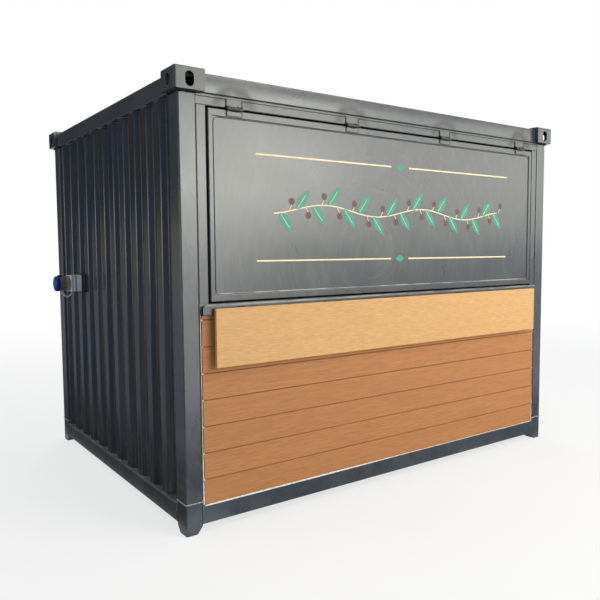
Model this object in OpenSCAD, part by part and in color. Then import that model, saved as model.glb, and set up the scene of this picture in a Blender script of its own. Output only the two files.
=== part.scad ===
// Street kiosk made from a small steel container: a corner-cast frame with corrugated walls,
// a top-hung serving hatch, a board-clad lower front and a fold-down counter.
// Millimetres. The origin is on the ground at the centre of the four feet, the front faces -Y.

/* [Overall] */
// Length over the corner castings
overall_l = 3250; // [2600:10:6000]
// Width over the corner castings
overall_w = 2400; // [2000:10:2500]
// Height from the ground to the casting tops
overall_h = 2500; // [2300:10:2800]

/* [Corner castings] */
// Casting size along the length
casting_l = 178; // [160:1:200]
// Casting size along the width
casting_w = 162; // [150:1:180]
// Casting height
casting_h = 118; // [110:1:140]
// How far a casting stands out past the frame
casting_proud = 35; // [10:1:45]
// Casting side and bottom wall
casting_wall = 16; // [10:1:20]
// Casting top wall
casting_top = 28; // [20:1:32]
// Radius of the outer casting edges
casting_r = 14; // [4:1:15]
// Length of the lifting slot in the casting top
lift_slot_l = 124; // [100:1:130]
// Width of the lifting slot
lift_slot_w = 63.5; // [50:0.5:70]
// Height of the slot in the casting's long face
face_slot_h = 79; // [60:1:82]
// Height of the slot in the casting's end face
end_slot_h = 66; // [60:1:82]
// Width of the slots in both upright faces
side_slot_w = 51; // [40:1:56]

/* [Frame] */
// Width of a corner post on the long side
post_l = 102; // [80:1:140]
// Width of a corner post on the short side
post_w = 118; // [90:1:150]
// Wall of the corner posts
post_wall = 6; // [3:0.5:10]
// Inside bend radius of the posts, rails and hatch tubes
bend_r = 2; // [1:0.5:4]
// Height of the cast foot under a post
foot_h = 176; // [160:1:220]
// Height of the tapered end of a foot
foot_taper_h = 46; // [20:1:48]
// Foot size on the ground along the length
foot_base_l = 66; // [50:1:78]
// Foot size on the ground along the width
foot_base_w = 81; // [60:1:88]
// Depth of the top and bottom rails
rail_d = 60; // [50:1:80]
// Wall of the rails and the front frame
rail_wall = 4; // [2:0.5:6]
// How far the top rails stay below the casting tops
rail_drop = 15; // [5:1:30]
// Underside of the bottom rails
bottom_rail_z = 48; // [48:1:60]
// Height of the bottom rails
bottom_rail_h = 102; // [95:1:110]

/* [Corrugated sheet] */
// Thickness of the wall and roof sheet
sheet_t = 2; // [1:0.1:4]
// Distance between corrugations in the walls
wall_pitch = 190; // [180:1:260]
// Width of a valley floor in the walls
wall_valley = 70; // [40:1:90]
// Run of a sloping flank in the walls
wall_run = 20; // [10:1:30]
// Depth of the wall corrugations
wall_depth = 30; // [15:1:40]
// How far the wall ridges sit behind the rail face
wall_inset = 14; // [4:1:18]
// Distance between corrugations in the roof
roof_pitch = 210; // [190:1:300]
// Width of a valley floor in the roof
roof_valley = 90; // [50:1:110]
// Run of a sloping flank in the roof
roof_run = 14; // [8:1:24]
// Depth of the roof corrugations
roof_depth = 20; // [8:1:30]
// How far the roof ridges sit below the top of the rails
roof_drop = 5; // [2:1:20]
// Flat edge kept at each end of a wall sheet
wall_flat = 20; // [10:1:40]
// Flat edge kept at each end of the roof sheet
roof_flat = 90; // [86:1:140]

/* [Floor] */
// Thickness of the floor deck
deck_t = 28; // [18:1:32]
// Height of a floor cross member
cross_h = 62; // [40:1:66]
// Width of a floor cross member
cross_w = 40; // [30:1:60]
// Wall of a floor cross member
cross_wall = 4; // [2:0.5:6]
// Number of floor cross members
cross_n = 7; // [3:1:12]

/* [Front frame] */
// Height of the header under the front top rail
header_h = 62; // [56:1:90]
// Setback of the header behind the rail face
header_setback = 4; // [0:0.5:8]
// Width of the jamb beside the hatch
jamb_w = 60; // [40:1:90]
// Height of the sill
sill_h = 57; // [50:1:70]
// Level of the top of the sill
sill_z = 1262; // [1100:1:1300]
// How far the sill nose stands out of the front
sill_proud = 20; // [10:1:40]
// How far the sill nose stops short of the posts
sill_end_gap = 12; // [0:1:30]
// Radius of the sill nose's front edge
sill_r = 12; // [2:1:18]
// Radius of the sill nose's upper ends
sill_end_r = 28; // [5:1:45]

/* [Cladding] */
// Thickness of a cladding board
board_t = 22; // [15:1:30]
// Distance from one cladding board to the next
board_pitch = 147; // [100:1:200]
// Open joint between cladding boards
board_gap = 3; // [1:0.5:6]
// Bevel on the long edges of a cladding board
board_bevel = 2; // [0.5:0.5:4]
// Thickness of the steel sheet behind the cladding
backing_t = 3; // [2:0.5:6]

/* [Serving hatch] */
// Gap all round the hatch
hatch_gap = 10; // [8:1:14]
// Width of the hatch stiles
stile_w = 30; // [24:1:60]
// Height of the hatch rails
hatch_rail_w = 39; // [36:1:60]
// Depth of the hatch frame
hatch_d = 40; // [30:1:50]
// Wall of the hatch frame tubes
hatch_wall = 3; // [2:0.5:5]
// Thickness of the hatch panel
hatch_panel_t = 2; // [1:0.1:4]
// How far the hatch panel sits behind its frame
hatch_recess = 6; // [2:1:12]

/* [Hatch hinges] */
// Number of hatch hinges
hinge_n = 4; // [2:1:6]
// Distance from the end of the hatch to the middle of its first hinge
hinge_end = 161; // [90:1:300]
// Width of a hatch hinge
hinge_l = 100; // [60:1:160]
// Length of each outer knuckle
knuckle_l = 30; // [15:1:32]
// Outer radius of a knuckle
knuckle_r = 9; // [7.5:0.5:9.5]
// Radius of the hinge pin
hinge_pin_r = 5; // [3:0.5:6]
// Distance from the pin to the front face of the hatch
pin_forward = 11; // [11:0.5:14]
// Distance from the top of the hatch up to the pin
pin_above = 5; // [5:0.5:6]
// Thickness of a hinge leaf
leaf_t = 5; // [3:0.5:6]
// Height of the upper leaf, measured from the pin
upper_leaf_h = 54; // [40:1:56]
// Height of the lower leaf, measured from the pin
lower_leaf_h = 38; // [30:1:42]

/* [Counter] */
// How far the counter board stops short of the posts
counter_end_gap = 75; // [40:1:300]
// Height of the folded counter board
counter_h = 323; // [200:1:450]
// Thickness of the counter board
counter_t = 22; // [15:1:32]
// Radius of the counter board's long edges
counter_r = 3; // [1:0.5:6]
// Space between the sill nose and the counter board
counter_gap = 8; // [8:0.5:12]
// How far the counter pin sits below the top of the sill
counter_pin_drop = 21; // [18:1:24]
// Number of counter hinges
counter_hinge_n = 5; // [3:1:7]
// Distance from the end of the counter to the middle of its first hinge
counter_hinge_end = 213; // [90:1:400]
// Width of a counter hinge
counter_hinge_l = 120; // [80:1:160]
// Length of each outer knuckle of a counter hinge
counter_knuckle_l = 40; // [20:1:50]
// Outer radius of a counter hinge knuckle
counter_knuckle_r = 3.5; // [3:0.1:3.7]
// Radius of a counter hinge pin
counter_pin_r = 2; // [1.5:0.1:2.4]
// Thickness of a counter hinge leaf
counter_leaf_t = 2.5; // [2:0.1:3]
// Height of a counter hinge leaf below the pin
counter_leaf_h = 32; // [20:1:34]
// Gap between the pin and the top of the board
counter_top_gap = 3; // [2:0.5:5]

/* [Power inlet] */
// Distance of the inlet behind the centre of the left wall
inlet_y = 585; // [380:1:760]
// Height of the inlet's centre
inlet_z = 1320; // [600:10:1800]
// Size of the inlet's base plate along the wall
base_w = 134; // [130:1:170]
// Height of the inlet's base plate
base_h = 138; // [125:1:160]
// Thickness of the inlet's base plate
base_t = 27; // [10:1:40]
// Size of the inlet box along the wall
box_w = 125; // [100:1:128]
// Height of the inlet box
box_h = 118; // [112:1:125]
// Depth of the inlet box
box_d = 73; // [40:1:120]
// Corner radius of the base plate and the box
box_r = 9; // [3:1:20]
// Radius of the inlet body's collar
collar_r = 55; // [50:1:56]
// Length of the inlet body's collar
collar_l = 26; // [10:1:28]
// Radius of the inlet body
body_r = 51; // [40:1:54]
// Length of the inlet body
body_l = 74; // [40:1:100]
// Radius of the inlet cap
cap_r = 56; // [45:1:66]
// Length of the inlet cap
cap_l = 28; // [20:1:60]
// Edge radius of the inlet cap
cap_edge_r = 13; // [4:1:18]

/* [Clearances] */
// Running clearance of a hinge pin in its bore
pin_clear = 0.1; // [0.05:0.01:0.3]
// Gap between neighbouring knuckles
knuckle_gap = 1; // [0.4:0.1:2]

/* [Hidden] */
$fn = 64;
over = 1;                                       // length by which a cut passes the face it opens

frame_x = overall_l / 2 - casting_proud;        // outer face of the posts and rails along X
frame_y = overall_w / 2 - casting_proud;        // outer face of the posts and rails along Y
casting_z = overall_h - casting_h;              // underside of the castings
casting_in_x = overall_l / 2 - casting_l;       // inner face of the castings along X
casting_in_y = overall_w / 2 - casting_w;       // inner face of the castings along Y
post_in_x = frame_x - post_l;                   // inner face of the posts along X
post_in_y = frame_y - post_w;                   // inner face of the posts along Y
rail_in_x = frame_x - rail_d;                   // inner face of the end rails
rail_in_y = frame_y - rail_d;                   // inner face of the front and rear rails
rail_top_z = overall_h - rail_drop;             // top of the top rails
deck_z = bottom_rail_z + bottom_rail_h;         // top of the bottom rails and the floor deck
header_z = casting_z - header_h;                // underside of the header
jamb_in_x = post_in_x - jamb_w;                 // opening face of the jambs
sill_under_z = sill_z - sill_h;                 // underside of the sill
backing_y = -frame_y + board_t;                 // front face of the sheet behind the boards
clad_x = post_in_x - sill_end_gap;              // half length of the cladding and the sill nose

hatch_x = jamb_in_x - hatch_gap;                // half length of the hatch
hatch_top_z = header_z - hatch_gap;             // top of the hatch
hatch_low_z = sill_z + hatch_gap;               // underside of the hatch
pin_y = -frame_y - pin_forward;                 // hatch hinge pin
pin_z = hatch_top_z + pin_above;

nose_y = -frame_y - sill_proud;                 // front face of the sill nose
counter_x = post_in_x - counter_end_gap;        // half length of the counter board
counter_back_y = nose_y - counter_gap;          // rear face of the folded counter board
counter_pin_y = nose_y - counter_gap / 2;       // counter hinge pin
counter_pin_z = sill_z - counter_pin_drop;
counter_top_z = counter_pin_z - counter_top_gap;

inlet_x = -frame_x + wall_inset;                // wall ridge that carries the inlet

paint = [0.20, 0.22, 0.25];
wood = [0.72, 0.46, 0.28];
oak = [0.84, 0.67, 0.46];

// Square with its corner at the origin, rounded at the far corner only.
module corner_round(l, w, r) {
    difference() {
        square([l, w]);
        translate([l - r, w - r]) square(r + over);
    }
    translate([l - r, w - r]) circle(r);
}

// Slot with round ends, its long side along X, centred.
module slot(l, w) {
    square([l - w, w], center = true);
    for (side = [-1, 1]) translate([side * (l - w) / 2, 0]) circle(d = w);
}

// Rectangle with round corners, its lower left corner at the origin.
module round_rect(l, w, r) {
    translate([r, 0]) square([l - 2 * r, w]);
    translate([0, r]) square([l, w - 2 * r]);
    for (u = [r, l - r]) for (v = [r, w - r]) translate([u, v]) circle(r);
}

// Section of a bent rectangular tube, its lower left corner at the origin.
module tube_section(l, w, wall) {
    difference() {
        round_rect(l, w, wall + bend_r);
        translate([wall, wall]) round_rect(l - 2 * wall, w - 2 * wall, bend_r);
    }
}

// Extrudes an upright section (Y, Z) along X, from x for a length l.
module along_x(x, l) translate([x, 0, 0]) rotate([90, 0, 90]) linear_extrude(l) children();

// Extrudes an upright section (X, Z) along Y, from y for a length l.
module along_y(y, l) translate([0, y + l, 0]) rotate([90, 0, 0]) linear_extrude(l) children();

// Rectangular tube along X from -half_l to half_l, its near lower edge at y, z.
module tube_x(half_l, y, d, z, h, wall) {
    along_x(-half_l, 2 * half_l) translate([y, z]) tube_section(d, h, wall);
}

// Rectangular tube along Y from -half_l to half_l, its near lower edge at x, z.
module tube_y(half_l, x, d, z, h, wall) {
    along_y(-half_l, 2 * half_l) translate([x, z]) tube_section(d, h, wall);
}

// One side of a corrugated sheet, left to right: flats at height 0 and valleys at -depth.
// shift moves every flank towards its valley, which gives the second side its even thickness.
function corrugation(span, pitch, valley, run, depth, flat, shift) =
    let (n = floor((span - valley - 2 * run - 2 * flat) / pitch) + 1)
    [for (i = [0:n - 1])
        let (c = (i - (n - 1) / 2) * pitch, half = valley / 2 - shift)
        each [[c - half - run, 0], [c - half, -depth], [c + half, -depth], [c + half + run, 0]]];

// Closed outline of a corrugated sheet of thickness t, its ridges on the line y = 0.
module corrugated_outline(span, pitch, valley, run, depth, flat, t) {
    shift = t * tan(atan2(depth, run) / 2);
    upper = corrugation(span, pitch, valley, run, depth, flat, 0);
    lower = corrugation(span, pitch, valley, run, depth, flat, -shift);
    polygon(concat(
        [[-span / 2, 0]], upper, [[span / 2, 0], [span / 2, -t]],
        [for (i = [len(lower) - 1:-1:0]) lower[i] - [0, t]], [[-span / 2, -t]]));
}

// Hollow corner casting in the +X +Y corner, slotted through its top, long face and end face.
module casting(side_x, side_y) {
    top_in = casting_h - casting_top;
    mirror([side_x < 0 ? 1 : 0, 0, 0]) mirror([0, side_y < 0 ? 1 : 0, 0])
    translate([casting_in_x, casting_in_y, casting_z]) color(paint) difference() {
        intersection() {
            linear_extrude(casting_h) corner_round(casting_l, casting_w, casting_r);
            along_y(0, casting_w) corner_round(casting_l, casting_h, casting_r);
            along_x(0, casting_l) corner_round(casting_w, casting_h, casting_r);
        }
        translate([casting_wall, casting_wall, casting_wall])
            cube([casting_l - 2 * casting_wall, casting_w - 2 * casting_wall, top_in - casting_wall]);
        translate([casting_l / 2, casting_w / 2, casting_h / 2])
            linear_extrude(casting_h) slot(lift_slot_l, lift_slot_w);
        translate([casting_l / 2, casting_w + over, (casting_wall + top_in) / 2]) rotate([90, 90, 0])
            linear_extrude(casting_wall + over) slot(face_slot_h, side_slot_w);
        translate([casting_l + over, casting_w / 2, (casting_wall + top_in) / 2]) rotate([90, 90, -90])
            linear_extrude(casting_wall + over) slot(end_slot_h, side_slot_w);
    }
}

// Bent tube post between a foot and a casting.
module post(side_x, side_y) {
    mirror([side_x < 0 ? 1 : 0, 0, 0]) mirror([0, side_y < 0 ? 1 : 0, 0])
    translate([post_in_x, post_in_y, foot_h]) color(paint)
    linear_extrude(casting_z - foot_h) tube_section(post_l, post_w, post_wall);
}

// Upright outline of a foot: its outer edge is straight, its inner edge tapers to the base.
module foot_outline(full, base) {
    polygon([[full, 0], [full, foot_h], [0, foot_h], [0, foot_taper_h], [full - base, 0]]);
}

// Cast foot under a post, tapered on its two inner sides and rounded as the post is.
module foot(side_x, side_y) {
    mirror([side_x < 0 ? 1 : 0, 0, 0]) mirror([0, side_y < 0 ? 1 : 0, 0])
    translate([post_in_x, post_in_y, 0]) color(paint) intersection() {
        linear_extrude(foot_h) round_rect(post_l, post_w, post_wall + bend_r);
        along_y(0, post_w) foot_outline(post_l, foot_base_l);
        along_x(0, post_l) foot_outline(post_w, foot_base_w);
    }
}

module casting_front_left() casting(-1, -1);
module casting_front_right() casting(1, -1);
module casting_rear_left() casting(-1, 1);
module casting_rear_right() casting(1, 1);
module post_front_left() post(-1, -1);
module post_front_right() post(1, -1);
module post_rear_left() post(-1, 1);
module post_rear_right() post(1, 1);
module foot_front_left() foot(-1, -1);
module foot_front_right() foot(1, -1);
module foot_rear_left() foot(-1, 1);
module foot_rear_right() foot(1, 1);

// Top rail along the length, between two castings.
module top_rail_x(y) color(paint)
    tube_x(casting_in_x, y, rail_d, casting_z, rail_top_z - casting_z, rail_wall);
// Top rail along the width, between two castings.
module top_rail_y(x) color(paint)
    tube_y(casting_in_y, x, rail_d, casting_z, rail_top_z - casting_z, rail_wall);
// Bottom rail along the length, between two feet.
module bottom_rail_x(y) color(paint)
    tube_x(post_in_x, y, rail_d, bottom_rail_z, bottom_rail_h, rail_wall);
// Bottom rail along the width, between two feet.
module bottom_rail_y(x) color(paint)
    tube_y(post_in_y, x, rail_d, bottom_rail_z, bottom_rail_h, rail_wall);

module top_rail_front() top_rail_x(-frame_y);
module top_rail_rear() top_rail_x(rail_in_y);
module top_rail_left() top_rail_y(-frame_x);
module top_rail_right() top_rail_y(rail_in_x);
module bottom_rail_front() bottom_rail_x(-frame_y);
module bottom_rail_rear() bottom_rail_x(rail_in_y);
module bottom_rail_left() bottom_rail_y(-frame_x);
module bottom_rail_right() bottom_rail_y(rail_in_x);

// Tube that closes the front above the hatch and carries its hinges.
module front_header() {
    color(paint)
    tube_x(post_in_x, -frame_y + header_setback, rail_d - header_setback, header_z, header_h, rail_wall);
}

// Upright tube between a post and the hatch, standing on the sill.
module front_jamb(x) {
    translate([x, -frame_y + header_setback, sill_z]) color(paint)
        linear_extrude(header_z - sill_z) tube_section(jamb_w, rail_d - header_setback, rail_wall);
}

module front_jamb_left() front_jamb(-post_in_x);
module front_jamb_right() front_jamb(jamb_in_x);

// Sill under the hatch: a square-edged tube between the posts with a rounded nose in front.
module front_sill() {
    color(paint) translate([0, -frame_y, sill_under_z]) {
        along_x(-post_in_x, 2 * post_in_x) difference() {
            square([rail_d, sill_h]);
            translate([rail_wall, rail_wall]) square([rail_d - 2 * rail_wall, sill_h - 2 * rail_wall]);
        }
        intersection() {
            mirror([0, 1, 0]) along_x(-clad_x, 2 * clad_x) corner_round(sill_proud, sill_h, sill_r);
            along_y(-sill_proud, sill_proud) for (side = [0, 1])
                mirror([side, 0]) corner_round(clad_x, sill_h, sill_end_r);
        }
    }
}

// Corrugated end wall standing on the bottom rail; its ridges face outwards.
module end_wall(side_x) {
    translate([side_x * (frame_x - wall_inset), 0, deck_z]) rotate([0, 0, -90 * side_x]) color(paint)
    linear_extrude(casting_z - deck_z)
        corrugated_outline(2 * post_in_y, wall_pitch, wall_valley, wall_run, wall_depth, wall_flat, sheet_t);
}

module left_wall() end_wall(-1);
module right_wall() end_wall(1);

// Corrugated rear wall, the same sheet as the end walls.
module rear_wall() {
    translate([0, frame_y - wall_inset, deck_z]) color(paint)
    linear_extrude(casting_z - deck_z)
        corrugated_outline(2 * post_in_x, wall_pitch, wall_valley, wall_run, wall_depth, wall_flat, sheet_t);
}

// Roof sheet with corrugations across the width, notched round the castings.
module roof() {
    notch_x = rail_in_x - casting_in_x;
    notch_y = rail_in_y - casting_in_y;
    color(paint) difference() {
        along_y(-rail_in_y, 2 * rail_in_y) translate([0, rail_top_z - roof_drop])
            corrugated_outline(2 * rail_in_x, roof_pitch, roof_valley, roof_run, roof_depth, roof_flat,
                sheet_t);
        for (side_x = [-1, 1]) for (side_y = [-1, 1])
            translate([side_x * (rail_in_x + over), side_y * (rail_in_y + over), overall_h])
                cube([2 * (notch_x + over), 2 * (notch_y + over), 2 * casting_h], center = true);
    }
}

// Plywood floor between the bottom rails, notched round the posts.
module floor_deck() {
    notch_x = rail_in_x - post_in_x;
    notch_y = rail_in_y - post_in_y;
    color(wood) translate([0, 0, deck_z - deck_t]) linear_extrude(deck_t) difference() {
        square([2 * rail_in_x, 2 * rail_in_y], center = true);
        for (side_x = [-1, 1]) for (side_y = [-1, 1])
            translate([side_x * (rail_in_x + over), side_y * (rail_in_y + over)])
                square([2 * (notch_x + over), 2 * (notch_y + over)], center = true);
    }
}

// Channels under the floor, from the front rail to the rear rail.
module floor_cross_members() {
    step = 2 * rail_in_x / (cross_n + 1);
    color(paint) for (i = [1:cross_n])
        translate([-rail_in_x + i * step - cross_w / 2, 0, deck_z - deck_t - cross_h])
            along_y(-rail_in_y, 2 * rail_in_y) difference() {
                square([cross_w, cross_h]);
                translate([cross_wall, cross_wall]) square([cross_w, cross_h - 2 * cross_wall]);
            }
}

// Steel sheet that closes the front below the sill and carries the boards.
module front_backing() {
    color(paint) translate([-post_in_x, backing_y, deck_z])
        cube([2 * post_in_x, backing_t, sill_under_z - deck_z]);
}

// Cross-section of a cladding board, its visible long edges bevelled; depth along X, height along Y.
module board_section(h) {
    polygon([[0, board_bevel], [board_bevel, 0], [board_t, 0], [board_t, h],
        [board_bevel, h], [0, h - board_bevel]]);
}

// Horizontal boards on the lower front, laid from the bottom rail up; the last is cut to fit.
module front_cladding() {
    full_h = sill_under_z - deck_z;
    color(wood) for (z = [0:board_pitch:full_h - 4 * board_bevel]) {
        h = min(board_pitch, full_h - z) - board_gap;
        translate([0, -frame_y, deck_z + z]) along_x(-clad_x, 2 * clad_x) board_section(h);
    }
}

// Horizontal tube of the hatch frame, mitred; its outer edge is at level z, and up is 1 on the top one.
module hatch_rail(z, up) {
    inner = z - up * hatch_rail_w;
    color(paint) intersection() {
        tube_x(hatch_x, -frame_y, hatch_d, min(z, inner), hatch_rail_w, hatch_wall);
        along_y(-frame_y, hatch_d)
            polygon([[-hatch_x, z], [hatch_x, z], [hatch_x - stile_w, inner], [stile_w - hatch_x, inner]]);
    }
}

// Upright tube of the hatch frame on one side, mitred.
module hatch_stile(side_x) {
    inner_x = hatch_x - stile_w;
    mirror([side_x < 0 ? 1 : 0, 0, 0]) color(paint) intersection() {
        translate([inner_x, -frame_y, hatch_low_z])
            linear_extrude(hatch_top_z - hatch_low_z) tube_section(stile_w, hatch_d, hatch_wall);
        along_y(-frame_y, hatch_d)
            polygon([[hatch_x, hatch_low_z], [inner_x, hatch_low_z + hatch_rail_w],
                [inner_x, hatch_top_z - hatch_rail_w], [hatch_x, hatch_top_z]]);
    }
}

module hatch_rail_top() hatch_rail(hatch_top_z, 1);
module hatch_rail_bottom() hatch_rail(hatch_low_z, -1);
module hatch_stile_left() hatch_stile(-1);
module hatch_stile_right() hatch_stile(1);

// Flat sheet inside the hatch frame, set back from its face.
module hatch_panel() {
    color(paint) translate([-hatch_x + stile_w, -frame_y + hatch_recess, hatch_low_z + hatch_rail_w])
        cube([2 * (hatch_x - stile_w), hatch_panel_t, hatch_top_z - hatch_low_z - 2 * hatch_rail_w]);
}

// Places its children at each of n hinges of length l, the outer two centred at -end_x and end_x.
module hinge_row(n, end_x, l) {
    for (i = [0:n - 1]) translate([end_x * (2 * i / (n - 1) - 1) - l / 2, 0, 0]) children();
}

// Outline of the upper leaf about the pin: a plate on the header and a web down to the knuckle.
module upper_leaf_outline(web) {
    back = pin_forward + header_setback;
    front = back - leaf_t;
    low = header_z - pin_z + knuckle_r;
    polygon([[back, low], [back, upper_leaf_h], [front, upper_leaf_h], [front, low]]);
    if (web) {
        polygon([[0, 0], [-knuckle_r * sin(45), knuckle_r * sin(45)], [front, low + leaf_t], [back, low]]);
        circle(knuckle_r);
    }
}

// Outline of the lower leaf about the pin: a plate on the hatch face and a web up to the knuckle.
module lower_leaf_outline(web) {
    front = pin_forward - leaf_t;
    top = -pin_above - knuckle_r / 2;
    polygon([[front, -lower_leaf_h], [pin_forward, -lower_leaf_h], [pin_forward, top], [front, top]]);
    if (web) {
        polygon([[0, 0], [pin_forward, -pin_above], [pin_forward, top], [front, top - leaf_t],
            [-knuckle_r * sin(45), -knuckle_r * sin(45)]]);
        circle(knuckle_r);
    }
}

// Hatch hinge halves on the header, each with two knuckles and the pin.
module hatch_hinge_upper_leaves() {
    color(paint) translate([0, pin_y, pin_z]) hinge_row(hinge_n, hatch_x - hinge_end, hinge_l) {
        along_x(0, hinge_l) upper_leaf_outline(false);
        for (x = [0, hinge_l - knuckle_l]) along_x(x, knuckle_l) upper_leaf_outline(true);
        along_x(0, hinge_l) circle(hinge_pin_r);
    }
}

// Hatch hinge halves on the hatch, each with one bored knuckle.
module hatch_hinge_lower_leaves() {
    middle_l = hinge_l - 2 * (knuckle_l + knuckle_gap);
    color(paint) translate([0, pin_y, pin_z]) hinge_row(hinge_n, hatch_x - hinge_end, hinge_l) difference() {
        union() {
            along_x(0, hinge_l) lower_leaf_outline(false);
            along_x(knuckle_l + knuckle_gap, middle_l) lower_leaf_outline(true);
        }
        along_x(-over, hinge_l + 2 * over) circle(hinge_pin_r + pin_clear);
    }
}

// Counter board, folded down in front of the cladding, with eased long edges.
module counter_board() {
    color(oak) translate([0, counter_back_y - counter_t, counter_top_z - counter_h])
        along_x(-counter_x, 2 * counter_x) round_rect(counter_t, counter_h, counter_r);
}

// Outline of a counter hinge leaf about the pin, on the side given by its seat's distance from the pin.
module counter_leaf_outline(seat, knuckle) {
    near = seat - sign(seat) * counter_leaf_t;
    top = knuckle ? 0 : -counter_knuckle_r - knuckle_gap;
    polygon([[near, -counter_leaf_h], [seat, -counter_leaf_h], [seat, top], [near, top]]);
    if (knuckle) circle(counter_knuckle_r);
}

// Counter hinge halves on the sill nose, each with two knuckles and the pin.
module counter_hinge_fixed_leaves() {
    l = counter_hinge_l;
    color("silver") translate([0, counter_pin_y, counter_pin_z])
    hinge_row(counter_hinge_n, counter_x - counter_hinge_end, l) {
        along_x(0, l) counter_leaf_outline(counter_gap / 2, false);
        for (x = [0, l - counter_knuckle_l])
            along_x(x, counter_knuckle_l) counter_leaf_outline(counter_gap / 2, true);
        along_x(0, l) circle(counter_pin_r);
    }
}

// Counter hinge halves on the board, each with one bored knuckle.
module counter_hinge_moving_leaves() {
    l = counter_hinge_l;
    middle_l = l - 2 * (counter_knuckle_l + knuckle_gap);
    color("silver") translate([0, counter_pin_y, counter_pin_z])
    hinge_row(counter_hinge_n, counter_x - counter_hinge_end, l) difference() {
        union() {
            along_x(0, l) counter_leaf_outline(-counter_gap / 2, false);
            along_x(counter_knuckle_l + knuckle_gap, middle_l) counter_leaf_outline(-counter_gap / 2, true);
        }
        along_x(-over, l + 2 * over) circle(counter_pin_r + pin_clear);
    }
}

// Base plate of the power inlet on the ridges of the left wall.
module inlet_base() {
    color("dimgray") translate([0, inlet_y - base_w / 2, inlet_z - base_h / 2])
        along_x(inlet_x - base_t, base_t) round_rect(base_w, base_h, box_r);
}

// Light grey box on the base plate.
module inlet_box() {
    color("gainsboro") translate([0, inlet_y - box_w / 2, inlet_z - box_h / 2])
        along_x(inlet_x - base_t - box_d, box_d) round_rect(box_w, box_h, box_r);
}

// Round body that stands out of the box, with a collar at its root.
module inlet_body() {
    color("gray") translate([inlet_x - base_t - box_d, inlet_y, inlet_z]) rotate([0, -90, 0])
        rotate_extrude() polygon([[0, 0], [collar_r, 0], [collar_r, collar_l],
            [body_r, collar_l + collar_r - body_r], [body_r, body_l], [0, body_l]]);
}

// Blue cap on the body with a rounded rim.
module inlet_cap() {
    color("steelblue") translate([inlet_x - base_t - box_d - body_l, inlet_y, inlet_z]) rotate([0, -90, 0])
        rotate_extrude() corner_round(cap_r, cap_l, cap_edge_r);
}

casting_front_left();
casting_front_right();
casting_rear_left();
casting_rear_right();
post_front_left();
post_front_right();
post_rear_left();
post_rear_right();
foot_front_left();
foot_front_right();
foot_rear_left();
foot_rear_right();
top_rail_front();
top_rail_rear();
top_rail_left();
top_rail_right();
bottom_rail_front();
bottom_rail_rear();
bottom_rail_left();
bottom_rail_right();
front_header();
front_jamb_left();
front_jamb_right();
front_sill();
left_wall();
right_wall();
rear_wall();
roof();
floor_deck();
floor_cross_members();
front_backing();
front_cladding();
hatch_rail_top();
hatch_rail_bottom();
hatch_stile_left();
hatch_stile_right();
hatch_panel();
hatch_hinge_upper_leaves();
hatch_hinge_lower_leaves();
counter_board();
counter_hinge_fixed_leaves();
counter_hinge_moving_leaves();
inlet_base();
inlet_box();
inlet_body();
inlet_cap();
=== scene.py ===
"""Looks of the street kiosk: painted container steel, board cladding, an oak counter and a power inlet.

Metres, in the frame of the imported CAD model: the front faces -Y, the ground is at z = 0.
"""

import math
import random

import bmesh
import bpy
from mathutils import Matrix, Vector


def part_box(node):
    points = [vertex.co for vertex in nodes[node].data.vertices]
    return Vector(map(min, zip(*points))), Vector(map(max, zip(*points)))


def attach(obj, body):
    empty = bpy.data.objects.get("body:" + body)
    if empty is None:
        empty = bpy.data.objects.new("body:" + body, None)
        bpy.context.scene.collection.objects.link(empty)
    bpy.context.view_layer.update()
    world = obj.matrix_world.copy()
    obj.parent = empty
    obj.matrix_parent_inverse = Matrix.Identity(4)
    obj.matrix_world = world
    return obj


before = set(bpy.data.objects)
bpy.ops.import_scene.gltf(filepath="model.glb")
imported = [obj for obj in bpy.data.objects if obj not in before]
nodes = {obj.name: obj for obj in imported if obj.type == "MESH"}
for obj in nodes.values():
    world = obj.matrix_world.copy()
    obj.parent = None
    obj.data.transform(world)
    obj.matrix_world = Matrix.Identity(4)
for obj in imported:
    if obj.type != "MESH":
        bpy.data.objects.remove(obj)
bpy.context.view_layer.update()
random.seed(7)

# Places that the pieces share with the CAD model.
FRONT_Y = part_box("bottom_rail_front")[0].y       # front face of posts and rails
HEADER_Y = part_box("front_header")[0].y           # front face of the header
PANEL_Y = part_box("hatch_panel")[0].y             # front face of the hatch panel
FOOT_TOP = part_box("foot_front_left")[1].z        # joint between foot and post
POST_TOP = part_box("post_front_left")[1].z        # joint between post and casting
RAIL_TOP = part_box("bottom_rail_front")[1].z      # foot of the walls and the cladding
CLAD_LOW, CLAD_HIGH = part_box("front_cladding")
HINGE_LOW, HINGE_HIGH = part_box("hatch_hinge_upper_leaves")
BOX_LOW, BOX_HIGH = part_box("inlet_box")
CAP_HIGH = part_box("inlet_cap")[1]

# Sizes that repeat those of the CAD model.
WALL = {"pitch": 0.190, "valley": 0.070, "run": 0.020, "depth": 0.030, "flat": 0.020}
BOARD_PITCH = 0.147
BOARD_JOINTS = 7
HINGE_COUNT = 4                                  # hinges along the hatch
HINGE_WIDTH = 0.100
UPPER_LEAF = 0.054                               # from the hinge pin to the top of the upper leaf
LOWER_LEAF = 0.038                               # from the hinge pin to the foot of the lower leaf
HINGE_PIN_Z = HINGE_HIGH.z - UPPER_LEAF
HINGE_PITCH = (HINGE_HIGH.x - HINGE_LOW.x - HINGE_WIDTH) / (HINGE_COUNT - 1)

# The photograph's camera, fitted to the corners of the castings, feet, hatch and counter.
VIEW_POINT = (-3.04491, -4.28244, 1.54502)
VIEW_YAW, VIEW_PITCH, VIEW_ROLL = 0.6187, -0.0758, -0.0074     # radians
FOCAL_PIXELS = 643.8965
PHOTO_PIXELS = 600
SENSOR_MM = 36

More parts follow.
